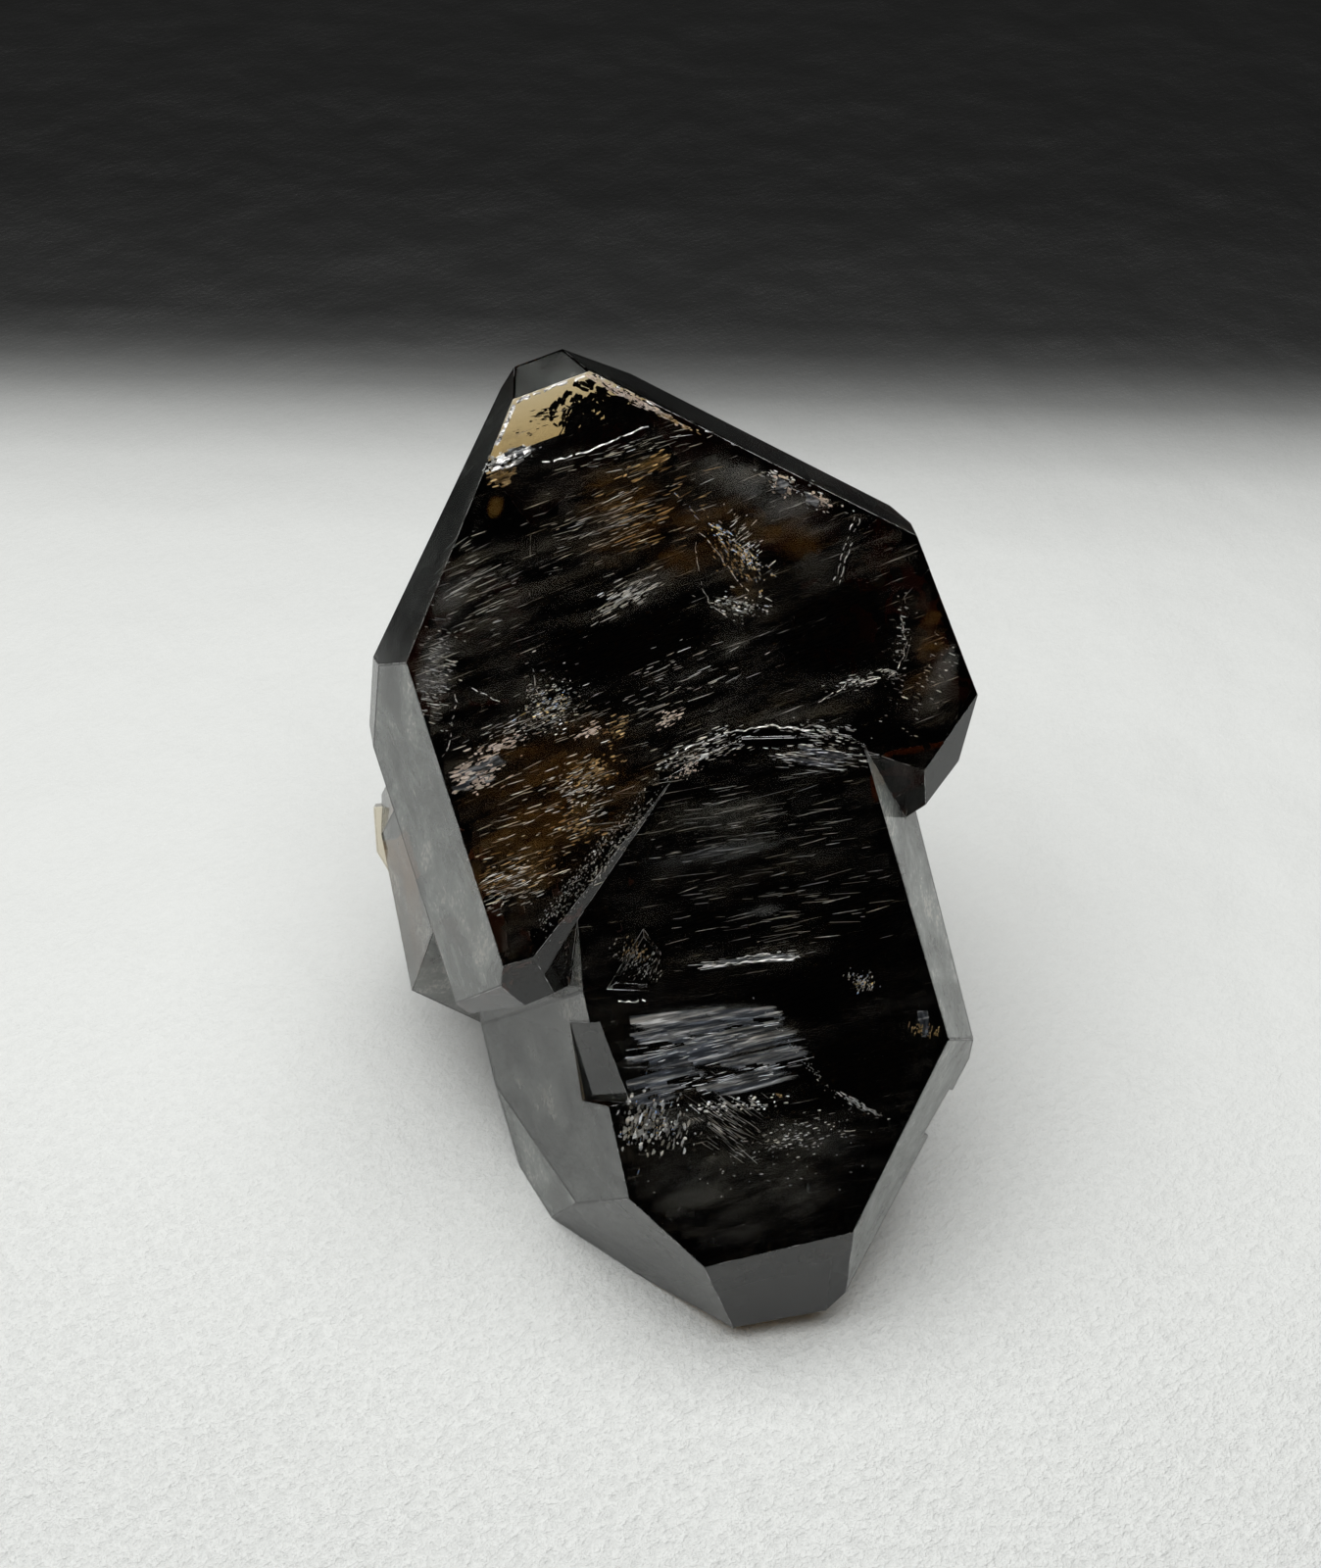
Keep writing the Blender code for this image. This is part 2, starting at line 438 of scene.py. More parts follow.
def add_sheet(whole, draw, inside, fade, face, middle, half, heading, depth, tips):
    """A wavy film; its cover fades all round, or else lies thickest along the upper rim."""
    part = bmesh.new()
    cover = part.verts.layers.float.new("cover")
    bmesh.ops.create_grid(part, x_segments=16, y_segments=10, size=1)
    shift = Vector((draw.uniform(-9, 9), draw.uniform(-9, 9), 0))
    for vertex in part.verts:
        x, y = vertex.co.x, vertex.co.y
        if fade:
            vertex[cover] = 1 - min(1.0, x ** 2 + y ** 2)
        else:
            vertex[cover] = (1 - (x + 0.25 * y) ** 2) * (0.75 + 0.35 * y)
        vertex.co.z = 0.16 * noise.noise(vertex.co * 1.4 + shift)
    lean = math.radians(heading)
    place = (
        Matrix.Translation(under(face, *middle, depth)) @ Matrix.Rotation(lean, 4, "Z")
        @ Matrix.Rotation(math.radians(tips[0]), 4, "X")
        @ Matrix.Rotation(math.radians(tips[1]), 4, "Y")
        @ Matrix.Diagonal((*half, 1, 1))
    )
    part.transform(place)
    outside = [vertex for vertex in part.verts if not inside(vertex.co, FILM_MARGIN)]
    bmesh.ops.delete(part, geom=outside, context="VERTS")
    if part.faces:
        thicken(part, FILM)
    absorb(whole, part)


def add_crack(whole, draw, inside, face, points, depth, width):
    """A thin jagged ribbon along a line of points, turned so that it glints."""
    part = bmesh.new()
    share_left_out = BOLD_GAPS if width > BOLD_CRACK else FINE_GAPS
    for start, end in zip(points, points[1:]):
        ahead = Vector((end[0] - start[0], end[1] - start[1], 0))
        across = GLINT.cross(ahead).normalized()
        steps = max(2, round(ahead.length / CRACK_STEP))
        ribbon = bmesh.ops.create_grid(part, x_segments=steps, y_segments=1, size=1)
        for vertex in ribbon["verts"]:
            along, side = (vertex.co.x + 1) / 2, vertex.co.y
            spot = under(face, start[0] + ahead.x * along, start[1] + ahead.y * along, depth)
            stray = noise.noise(spot * 4) * 0.08 + side * width * draw.uniform(0.15, 0.6)
            vertex.co = spot + across * stray + Vector((0, 0, draw.gauss(0, width * 0.08)))
    outside = [vertex for vertex in part.verts if not inside(vertex.co, CRACK_MARGIN)]
    bmesh.ops.delete(part, geom=outside, context="VERTS")
    gaps = [strip for strip in part.faces if draw.random() < share_left_out]
    bmesh.ops.delete(part, geom=gaps, context="FACES")
    if part.faces:
        thicken(part, CRACK_FILM)
    absorb(whole, part)


# Materials


def quartz_material(settings):
    """Clear, polished and smoky, with faint growth lines on its faces."""
    shade = Shade("smoky quartz")
    where = shade.on_drawing()
    lines = shade.noise(shade.along(where, 18, (0.25, 3.0, 3.0)), 2.0, 2.0)
    wear = shade.attribute("wear") * shade.noise(where, 1.7, 3.0, 0.7).between(0.40, 0.62)
    surface = shade.node(
        "BsdfPrincipled", {},
        {
            "Base Color": (1.0, 1.0, 1.0, 1.0),
            "Roughness": lines * 0.04 + wear * 0.4 + 0.01,
            "Metallic": wear * 0.75,
            "IOR": settings.refraction,
            "Transmission Weight": 1.0,
            "Normal": shade.bump(lines, 0.08, 0.00003),
        },
    )
    volume = shade.node(
        "VolumeAbsorption", {},
        {"Color": as_colour(tuple(settings.smoke)), "Density": settings.smoke_density},
    )
    return shade.finish(surface, volume)


def film_material(name, light, dark, metallic, roughness):
    """A gas film or stained film: bright ridges on a duller ground."""
    shade = Shade(name)
    where = shade.on_drawing()
    ridges = shade.noise(shade.along(where, FLAKE_GRAIN, (1.0, 9.0, 4.0)), 2.2, 2.0, 0.6)
    mask = ridges.between(0.38, 0.62)
    surface = shade.node(
        "BsdfPrincipled", {},
        {
            "Base Color": shade.mix(mask, dark, light),
            "Metallic": metallic,
            "Roughness": ridges * 0.25 + roughness,
            "Specular IOR Level": 0.5 if metallic else 0.0,
        },
    )
    return shade.finish(surface)


def streak_material(name, light, dark, heading):
    """A healed crack: broken streaks of gas bubbles, brown where the quartz is stained."""
    shade = Shade(name)
    where = shade.on_drawing()
    fine = shade.noise(shade.along(where, heading, (0.38, 15.0, 5.0)), 1.0, 4.0, 0.66, 0.5)
    dashes = shade.noise(shade.along(where, heading, (0.7, 24.0, 8.0)), 1.0, 2.0, 0.65)
    veil = shade.noise(shade.along(where, heading, (0.5, 1.8, 2.0)), 1.0, 2.0, 0.6)
    cover = shade.attribute("cover")
    mask = (fine + cover * 0.19).between(0.66, 0.76)
    glint = dashes.between(0.47, 0.63)
    stain = shade.attribute("stain")
    light = shade.mix(stain, light, (0.52, 0.33, 0.12))
    dark = shade.mix(stain, dark, (0.12, 0.07, 0.02))
    surface = shade.node(
        "BsdfPrincipled", {},
        {
            "Base Color": shade.mix(glint * mask, dark, light),
            "Roughness": fine * 0.3 + 0.3,
            "Alpha": mask * (glint * 0.8 + 0.10) + veil.between(0.45, 0.70) * cover * 0.28,
        },
    )
    return shade.finish(surface)


def plate_material(light, dark, heading):
    """Thin layered plates: nearly solid along the upper rim, broken into streaks below it."""
    shade = Shade("silver plates")
    where = shade.on_drawing()
    streaks = shade.noise(shade.along(where, heading, (0.35, 6.0, 3.0)), 1.0, 4.0, 0.6)
    fine = shade.noise(shade.along(where, heading, (0.8, 17.0, 5.0)), 1.0, 3.0, 0.65)
    rim = shade.attribute("cover")
    surface = shade.node(
        "BsdfPrincipled", {},
        {
            "Base Color": shade.mix((streaks * 0.8 + fine * 0.3).between(0.52, 0.72), dark, light),
            "Metallic": 0.4,
            "Roughness": fine * 0.3 + 0.25,
            "Alpha": (rim + streaks * 0.7 + fine * 0.5).between(0.80, 1.05),
        },
    )
    return shade.finish(surface)


def cloud_material(name, light, dark, heading, cover, grain, soft):
    """A soft cloud of stain or haze, more or less grainy and thin at its rim."""
    shade = Shade(name)
    where = shade.on_drawing()
    fine = shade.noise(shade.along(where, heading, (0.5, 6.0, 3.0)), 1.0, 5.0, 0.65)
    broad = shade.noise(shade.along(where, heading, (0.5, 1.3, 1.0)), 1.0, 3.0, 0.6)
    rim = shade.attribute("cover")
    level = fine * grain + broad * (1.15 - grain) + rim * 0.15
    mask = level.between(0.70 - soft, 0.70 + soft) * rim
    surface = shade.node(
        "BsdfPrincipled", {},
        {
            "Base Color": shade.mix(broad.between(0.36, 0.62), dark, light),
            "Roughness": fine * 0.3 + 0.35,
            "Alpha": mask * cover,
        },
    )
    return shade.finish(surface)


def haze_and_reflection_material():
    """Fine dust, etching and scratches under a side face, which make it a soft grey, partly as a
    painted reflection of the pale surface in that face.
    """
    shade = Shade("side haze and reflection")
    where = shade.on_drawing()
    soft = shade.noise(where, 0.42, 4.0, 0.62, 0.4).between(0.30, 0.72)
    grain = shade.noise(shade.along(where, 65, (2.0, 9.0, 5.0)), 1.0, 4.0, 0.7)
    scratch = shade.noise(shade.along(where, 112, (0.5, 16.0, 9.0)), 1.0, 2.0, 0.6)
    white = (grain * 0.6 + soft * 0.25).between(0.48, 0.60) * soft + scratch.between(0.68, 0.72)
    cover = shade.attribute("cover")
    # Painted reflection: the white is partly dust and etching, and partly stands for the face's
    # reflection of the pale surface.
    surface = shade.node(
        "BsdfPrincipled", {},
        {
            "Base Color": shade.mix(white, (0.74, 0.80, 0.80), (0.97, 0.96, 0.92)),
            "Roughness": grain * 0.3 + 0.5,
            "Alpha": cover * (soft * 0.9 + grain * 0.5 + white * 0.5 + 0.05),
        },
    )
    return shade.finish(surface)


# Tables

UP, LOW = UPPER, LOWER

# Flakes: face, middle, half size, heading, number, lengths, widths, depths, roll.
SILVER = (
    (UP, (-3.9, -1.2), (3.0, 2.2), 20, 130, (0.2, 1.3), (0.012, 0.045), (0.08, 0.9), 14),
    (UP, (-4.9, -3.4), (1.5, 0.7), 22, 150, (0.1, 0.8), (0.015, 0.05), (0.08, 0.6), 14),
    (UP, (-2.6, 0.0), (1.0, 0.9), 24, 130, (0.08, 0.5), (0.015, 0.05), (0.08, 0.5), 16),
    (UP, (-1.1, 6.2), (1.2, 0.40), 30, 130, (0.2, 0.9), (0.02, 0.06), (0.1, 0.6), 14),
    (UP, (-3.7, 2.6), (1.0, 0.9), 20, 260, (0.05, 0.35), (0.015, 0.06), (0.08, 0.7), 22),
    (UP, (-1.6, 8.8), (2.6, 1.3), 20, 150, (0.3, 1.5), (0.010, 0.03), (0.1, 0.8), 16),
    (UP, (-1.0, 11.0), (2.2, 0.5), 16, 60, (0.3, 1.2), (0.010, 0.03), (0.1, 0.6), 16),
    (UP, (-6.2, 6.6), (1.2, 1.6), 24, 90, (0.3, 1.3), (0.010, 0.03), (0.1, 0.7), 16),
    (UP, (0.4, 3.3), (3.4, 1.2), 22, 90, (0.2, 1.2), (0.010, 0.03), (0.1, 0.8), 16),
    (UP, (2.5, 5.9), (1.0, 0.32), 350, 130, (0.05, 0.3), (0.03, 0.09), (0.08, 0.5), 22),
    (UP, (3.0, 7.9), (0.4, 1.5), 35, 60, (0.1, 0.5), (0.02, 0.06), (0.1, 0.5), 20),
    (UP, (4.6, 9.6), (1.5, 0.35), 333, 60, (0.1, 0.35), (0.03, 0.10), (0.1, 0.5), 20),
    (UP, (1.4, 1.1), (1.6, 0.5), 20, 150, (0.08, 0.6), (0.015, 0.06), (0.08, 0.5), 18),
    (UP, (5.4, 1.7), (1.2, 0.35), 350, 90, (0.08, 0.6), (0.015, 0.06), (0.08, 0.5), 18),
    (UP, (7.9, 4.4), (0.25, 2.0), 350, 70, (0.05, 0.3), (0.02, 0.06), (0.08, 0.5), 22),
    (UP, (9.0, 3.6), (0.6, 2.2), 340, 50, (0.08, 0.4), (0.02, 0.07), (0.2, 0.9), 22),
    (UP, (-7.4, 3.4), (0.55, 1.8), 350, 170, (0.1, 0.5), (0.012, 0.05), (0.08, 0.5), 18),
    (UP, (-5.1, 10.75), (0.9, 0.22), 21, 150, (0.1, 0.6), (0.04, 0.12), (0.10, 0.30), 10),
    (LOW, (2.6, -1.4), (4.2, 1.9), 10, 130, (0.4, 2.4), (0.008, 0.02), (0.08, 0.7), 16),
    (LOW, (4.2, -4.3), (3.4, 1.0), 9, 70, (0.4, 2.4), (0.008, 0.02), (0.08, 0.7), 16),
    (LOW, (3.2, -5.80), (1.9, 0.13), 6, 60, (0.4, 1.8), (0.015, 0.045), (0.08, 0.35), 10),
    (UP, (6.9, 3.5), (1.3, 0.25), 12, 90, (0.06, 0.4), (0.015, 0.05), (0.08, 0.5), 18),
    (UP, (-5.1, 1.7), (1.6, 0.5), 24, 60, (0.1, 0.7), (0.012, 0.04), (0.08, 0.5), 16),
    (LOW, (1.6, -8.6), (2.4, 0.55), 12, 60, (0.4, 1.8), (0.012, 0.04), (0.04, 0.12), 12),
    (LOW, (2.3, -9.8), (2.3, 0.45), 14, 60, (0.4, 1.6), (0.012, 0.04), (0.04, 0.12), 12),
    (LOW, (-0.6, -11.2), (1.0, 0.8), 72, 130, (0.15, 0.55), (0.06, 0.20), (0.06, 0.5), 11),
    (LOW, (0.4, -11.6), (0.9, 0.8), 70, 70, (0.10, 0.45), (0.05, 0.16), (0.06, 0.5), 13),
    (LOW, (2.2, -11.2), (1.1, 0.9), 325, 110, (0.4, 1.5), (0.010, 0.03), (0.06, 0.5), 14),
    (LOW, (2.4, -10.75), (1.6, 0.25), 5, 90, (0.08, 0.35), (0.04, 0.12), (0.06, 0.4), 14),
    (LOW, (4.6, -11.8), (1.8, 0.6), 10, 120, (0.08, 0.35), (0.02, 0.06), (0.06, 0.5), 20),
    (LOW, (3.2, -12.9), (3.0, 0.9), 0, 40, (0.05, 0.20), (0.02, 0.05), (0.06, 0.5), 22),
    (LOW, (6.6, -10.7), (0.7, 0.10), 331, 60, (0.1, 0.4), (0.02, 0.06), (0.06, 0.3), 12),
    (LOW, (5.3, 0.9), (1.5, 0.40), 356, 150, (0.2, 0.9), (0.015, 0.05), (0.05, 0.4), 16),
    (LOW, (6.7, -6.6), (0.30, 0.5), 60, 70, (0.05, 0.22), (0.02, 0.07), (0.1, 0.5), 20),
    (LOW, (4.9, -9.3), (2.2, 0.12), 312, 90, (0.04, 0.15), (0.02, 0.06), (0.08, 0.4), 22),
    (LOW, (-0.75, -5.9), (0.45, 0.8), 60, 150, (0.05, 0.25), (0.015, 0.05), (0.35, 0.6), 24),
    (LOW, (-1.75, -2.4), (3.1, 0.10), 52, 160, (0.04, 0.22), (0.012, 0.045), (0.04, 0.4), 24),
    (UP, (-2.20, -2.4), (2.6, 0.22), 52, 230, (0.03, 0.14), (0.02, 0.05), (0.05, 0.4), 16),
    (UP, (-3.3, -3.9), (1.0, 0.30), 52, 90, (0.03, 0.16), (0.02, 0.05), (0.05, 0.4), 16),
)

GOLD = (
    (UP, (-2.2, 0.4), (0.8, 0.5), 24, 90, (0.1, 0.6), (0.03, 0.10), (0.15, 0.6), 22),
    (UP, (-2.7, -1.5), (0.6, 0.8), 24, 60, (0.1, 0.6), (0.03, 0.10), (0.15, 0.6), 22),
    (UP, (-4.9, -3.0), (1.5, 0.7), 22, 60, (0.2, 0.9), (0.02, 0.08), (0.15, 0.7), 22),
    (UP, (-1.5, 1.8), (0.6, 0.3), 24, 40, (0.1, 0.6), (0.03, 0.10), (0.15, 0.6), 22),
    (UP, (-0.4, 10.6), (1.0, 0.4), 25, 30, (0.3, 1.0), (0.03, 0.10), (0.2, 0.7), 22),
    (UP, (-0.5, 8.8), (1.7, 1.1), 20, 50, (0.3, 1.3), (0.02, 0.08), (0.2, 0.9), 22),
    (UP, (2.4, 7.6), (0.9, 0.5), 310, 70, (0.05, 0.4), (0.03, 0.10), (0.15, 0.6), 24),
    (UP, (-5.3, 10.15), (0.45, 0.30), 21, 60, (0.2, 0.6), (0.06, 0.2), (0.15, 0.4), 15),
    (UP, (0.4, 12.0), (0.8, 0.12), 332, 40, (0.1, 0.5), (0.03, 0.1), (0.08, 0.25), 16),
    (LOW, (-0.75, -5.6), (0.35, 0.5), 60, 40, (0.05, 0.25), (0.02, 0.08), (0.35, 0.6), 24),
    (LOW, (8.85, -8.2), (0.18, 0.5), 80, 40, (0.1, 0.4), (0.04, 0.10), (0.08, 0.4), 22),
    (LOW, (4.0, -10.4), (0.12, 0.12), 0, 8, (0.05, 0.2), (0.04, 0.10), (0.08, 0.3), 14),
)

CREAM = (
    (UP, (-6.1, 0.3), (0.9, 0.55), 22, 150, (0.15, 0.7), (0.04, 0.14), (0.06, 0.25), 12),
    (UP, (-5.2, 1.3), (0.8, 0.25), 24, 50, (0.15, 0.6), (0.03, 0.10), (0.06, 0.25), 12),
    (UP, (-2.4, 1.7), (0.5, 0.18), 24, 40, (0.1, 0.5), (0.03, 0.10), (0.06, 0.25), 12),
    (UP, (0.2, 2.1), (0.5, 0.25), 28, 40, (0.1, 0.5), (0.03, 0.10), (0.06, 0.25), 12),
    (UP, (4.1, 9.8), (0.35, 0.3), 333, 30, (0.1, 0.4), (0.06, 0.18), (0.1, 0.4), 18),
    (UP, (5.2, 9.4), (0.45, 0.2), 333, 30, (0.1, 0.4), (0.05, 0.14), (0.1, 0.4), 18),
    (LOW, (0.9, 0.5), (0.5, 0.25), 35, 60, (0.05, 0.3), (0.03, 0.10), (0.05, 0.25), 18),
    # Painted highlight: this band of cream flakes along the front face's upper edge stands in for
    # the thin line of light along that edge.
    (UP, (-1.0, 12.75), (1.6, 0.10), 332, 170, (0.1, 0.5), (0.03, 0.09), (0.05, 0.20), 12),
)

BLACK = (
    (UP, (-2.7, 12.1), (0.75, 0.85), 60, 240, (0.2, 0.9), (0.10, 0.32), (0.25, 1.3), 35),
    (UP, (-1.4, 12.4), (1.3, 0.7), 335, 300, (0.2, 0.9), (0.10, 0.32), (0.35, 1.3), 35),
    (UP, (-3.9, 12.2), (0.5, 0.3), 10, 26, (0.15, 0.6), (0.03, 0.10), (0.2, 0.6), 35),
    (UP, (-4.5, 11.6), (0.6, 0.2), 15, 10, (0.1, 0.4), (0.02, 0.06), (0.2, 0.6), 35),
    (LOW, (3.3, -4.0), (5.4, 5.0), 10, 1000, (1.2, 3.0), (0.9, 1.8), (2.2, 3.6), 10),
    (LOW, (2.6, -11.6), (4.6, 3.6), 10, 700, (1.0, 2.4), (0.7, 1.4), (2.0, 3.2), 10),
    (LOW, (7.2, -9.4), (1.8, 2.4), 60, 260, (0.4, 1.0), (0.3, 0.6), (1.2, 2.4), 10),
    (LOW, (3.0, -14.4), (3.6, 1.6), 0, 320, (0.4, 1.0), (0.3, 0.6), (1.0, 2.2), 10),
    (UP, (-1.4, -2.8), (3.2, 0.5), 56, 420, (0.3, 0.8), (0.2, 0.45), (0.9, 2.6), 20),
    (UP, (-3.3, -5.4), (0.8, 1.2), 60, 260, (0.2, 0.6), (0.15, 0.35), (0.9, 2.6), 20),
    (UP, (-4.4, -6.2), (1.0, 0.8), 20, 260, (0.2, 0.6), (0.15, 0.35), (0.7, 2.2), 20),
    (UP, (0.8, 3.4), (8.5, 5.4), 20, 700, (1.2, 2.8), (0.8, 1.6), (2.4, 4.0), 10),
    (UP, (-5.8, -1.2), (1.4, 3.0), 20, 260, (0.5, 1.3), (0.3, 0.7), (1.4, 2.6), 10),
    (UP, (-5.8, 4.4), (1.4, 2.4), 20, 220, (0.5, 1.3), (0.3, 0.7), (1.4, 2.6), 10),
    (UP, (8.2, 4.6), (1.4, 3.4), 340, 260, (0.5, 1.3), (0.3, 0.7), (1.4, 2.6), 10),
)

IRIDESCENT = (
    (UP, (2.2, 8.1), (1.3, 0.25), 320, 60, (0.10, 0.45), (0.03, 0.09), (0.08, 0.4), 12),
    (UP, (2.9, 7.3), (0.7, 0.35), 300, 60, (0.05, 0.30), (0.03, 0.09), (0.08, 0.4), 14),
    (UP, (-3.7, 2.5), (0.8, 0.7), 20, 60, (0.05, 0.30), (0.02, 0.07), (0.08, 0.4), 14),
    (LOW, (-0.3, -11.0), (1.2, 0.9), 75, 70, (0.08, 0.35), (0.03, 0.10), (0.06, 0.4), 14),
    (LOW, (6.7, -6.6), (0.25, 0.5), 60, 30, (0.05, 0.22), (0.03, 0.08), (0.08, 0.4), 14),
)

# Films right across a crystal: depth, tips.
SHEETS = ((0.12, (0.2, -0.1)), (0.34, (-0.6, 0.5)), (0.75, (1.2, -0.8)))

# Where the streaks lie thick or thin: middle, half size, heading, amount.
UPPER_ZONES = (
    ((-4.9, -3.6), (1.8, 1.4), 22, 0.02),
    ((-2.4, -0.2), (2.2, 2.0), 22, -0.08),
    ((-3.9, -1.6), (2.4, 1.8), 22, -0.06),
    ((-6.2, 0.3), (1.2, 0.9), 22, 0.10),
    ((-3.7, 2.6), (1.4, 1.2), 20, 0.18),
    ((-1.6, 9.0), (3.0, 2.0), 20, 0.22),
    ((-5.8, 6.6), (1.5, 1.7), 24, 0.22),
    ((-1.1, 6.2), (1.7, 0.6), 28, 0.40),
    ((2.4, 5.9), (1.5, 0.5), 350, 0.35),
    ((1.2, 1.0), (2.4, 0.8), 22, 0.40),
    ((4.9, 2.2), (2.2, 0.9), 15, 0.25),
    ((9.2, 3.6), (0.9, 2.4), 350, 0.25),
    ((-7.5, 3.4), (0.9, 2.4), 350, 0.55),
    ((4.0, 9.4), (2.4, 0.7), 333, 0.30),
    ((-1.0, 4.6), (3.2, 1.2), 20, -0.45),
    ((5.9, 5.0), (2.2, 1.5), 20, -0.45),
    ((7.0, 2.0), (1.2, 0.9), 0, -0.45),
    ((-5.0, 8.8), (1.0, 1.2), 60, -0.40),
    ((-2.2, 12.4), (2.2, 1.2), 0, -0.90),
)
LOWER_ZONES = (
    ((1.0, -1.2), (2.6, 1.5), 10, 0.18),
    ((3.6, -2.2), (4.4, 2.0), 10, 0.12),
    ((3.1, -5.85), (2.4, 0.35), 5, 0.60),
    ((5.3, 0.9), (1.8, 0.6), 356, 0.45),
    ((1.8, -9.2), (2.9, 1.3), 13, 0.45),
    ((0.0, -11.2), (1.6, 1.1), 30, 0.30),
    ((4.8, -6.9), (2.0, 1.0), 0, -0.50),
    ((6.6, -4.6), (1.6, 2.2), 0, -0.25),
    ((1.6, -4.6), (1.8, 0.8), 0, -0.25),
    ((3.4, -13.6), (3.6, 1.4), 0, -0.40),
    ((6.6, -9.4), (1.8, 1.4), 0, -0.45),
)

# Where the streaks are brown, in the same way.
STAINED_ZONES = (
    ((-3.6, -1.2), (4.2, 3.4), 22, 1.1),
    ((-0.8, 9.4), (3.4, 2.2), 20, 0.8),
    ((8.9, 4.4), (1.2, 2.8), 340, 0.7),
)

# Pieces of streaks: name, heading, brightness, then face, middle, half size and zones.
STREAKS = (
    ("upper_streaks", 21, 1.0, (UP, (0.9, 4.2), (10.4, 10.4), UPPER_ZONES, STAINED_ZONES)),
    ("lower_streaks", 10, 0.42, (LOW, (3.4, -7.3), (6.6, 9.4), LOWER_ZONES, ())),
)

# Soft films: face, middle, half size, heading, depth, tips.
STAINS = (
    (UP, (-3.6, -0.4), (3.6, 3.0), 22, 1.3, (2, -2)),
    (UP, (-4.9, -2.8), (2.4, 1.6), 22, 0.9, (-2, 2)),
    (UP, (-2.2, 0.4), (1.0, 0.8), 20, 0.5, (4, 3)),
    (UP, (-2.6, -1.4), (0.7, 1.2), 350, 0.45, (4, 2)),
    (UP, (-4.9, -3.0), (1.3, 0.5), 22, 0.4, (-4, 4)),
    (UP, (-0.3, 10.5), (0.9, 0.35), 25, 0.3, (5, 3)),
    (UP, (-1.4, 9.0), (1.6, 2.0), 350, 1.2, (-3, 3)),
    (UP, (0.4, 8.2), (2.2, 1.6), 20, 1.4, (3, -3)),
    (UP, (2.6, 7.0), (0.7, 1.1), 30, 0.6, (-6, 5)),
    (UP, (-5.25, 10.1), (0.55, 0.42), 21, 0.15, (1, 1)),
    (UP, (-5.45, 9.3), (0.30, 0.55), 350, 0.5, (3, 2)),
    (UP, (9.0, 4.4), (0.8, 2.2), 340, 1.2, (4, 5)),
    (UP, (3.6, 8.6), (2.2, 1.0), 340, 1.0, (4, 5)),
)

HAZES = (
    (UP, (-7.5, 3.7), (0.8, 1.9), 348, 0.12, (1, 2)),
    (UP, (-6.9, 6.0), (0.7, 1.2), 340, 0.25, (2, 3)),
    (UP, (3.8, 9.4), (2.4, 1.0), 333, 0.20, (1, 1)),
    (UP, (2.6, 9.9), (2.2, 0.8), 333, 0.35, (2, 1)),
    (UP, (5.1, 7.2), (0.8, 0.6), 20, 0.5, (5, -4)),
    (UP, (2.3, 4.7), (0.8, 0.6), 20, 0.5, (-5, 4)),
    (UP, (9.3, 3.6), (0.5, 1.4), 340, 0.5, (4, -4)),
    (LOW, (0.6, -11.4), (1.7, 0.9), 0, 0.3, (-5, 3)),
    (LOW, (5.0, -11.9), (2.0, 0.7), 0, 0.3, (5, -3)),
    (LOW, (2.6, -13.2), (4.0, 2.4), 5, 0.45, (1, 1)),
    (LOW, (3.4, -4.2), (0.9, 0.24), 12, 0.15, (2, 0)),
    (LOW, (3.4, -4.2), (0.8, 0.22), 12, 0.20, (2, 0)),
    (LOW, (2.0, -2.2), (2.8, 0.4), 10, 0.20, (2, 0)),
    (LOW, (1.6, -7.55), (2.2, 0.3), 2, 0.20, (2, 0)),
    (LOW, (1.8, -1.0), (2.4, 0.8), 12, 0.4, (4, -3)),
)

PLATES = (
    (LOW, (0.9, -7.95), (1.9, 0.42), 6, 0.16, (-6, 0)),
    (LOW, (2.9, -7.75), (1.4, 0.30), 4, 0.12, (-4, 0)),
    (LOW, (0.1, -8.45), (1.1, 0.30), 8, 0.10, (-8, 1)),
    (LOW, (2.8, -8.50), (2.0, 0.42), 12, 0.20, (-3, 1)),
    (LOW, (0.8, -9.10), (1.9, 0.38), 13, 0.12, (-3, 0)),
    (LOW, (3.6, -9.20), (1.6, 0.34), 13, 0.14, (-6, -1)),
    (LOW, (0.2, -9.90), (1.5, 0.38), 16, 0.10, (-7, 0)),
    (LOW, (2.9, -9.95), (1.7, 0.32), 16, 0.18, (-8, 0)),
    (LOW, (-0.3, -10.5), (0.9, 0.26), 20, 0.12, (-4, 2)),
    (LOW, (3.1, -5.80), (1.7, 0.06), 6, 0.10, (-9, 0)),
    (LOW, (5.4, 1.00), (0.9, 0.12), 350, 0.10, (-4, 0)),
    (LOW, (5.1, 0.70), (1.0, 0.10), 352, 0.14, (-4, 0)),
    (LOW, (8.78, -8.0), (0.22, 0.45), 0, 0.12, (3, 0)),
    (UP, (-6.2, 0.05), (0.8, 0.20), 22, 0.08, (5, 0)),
    (UP, (-5.9, 0.55), (0.9, 0.18), 24, 0.12, (6, 0)),
    (UP, (-5.0, 10.80), (0.9, 0.16), 22, 0.10, (3, 0)),
    (UP, (5.0, 9.35), (0.30, 0.14), 333, 0.12, (5, 0)),
    (UP, (4.0, 9.80), (0.25, 0.22), 333, 0.12, (5, 0)),
)

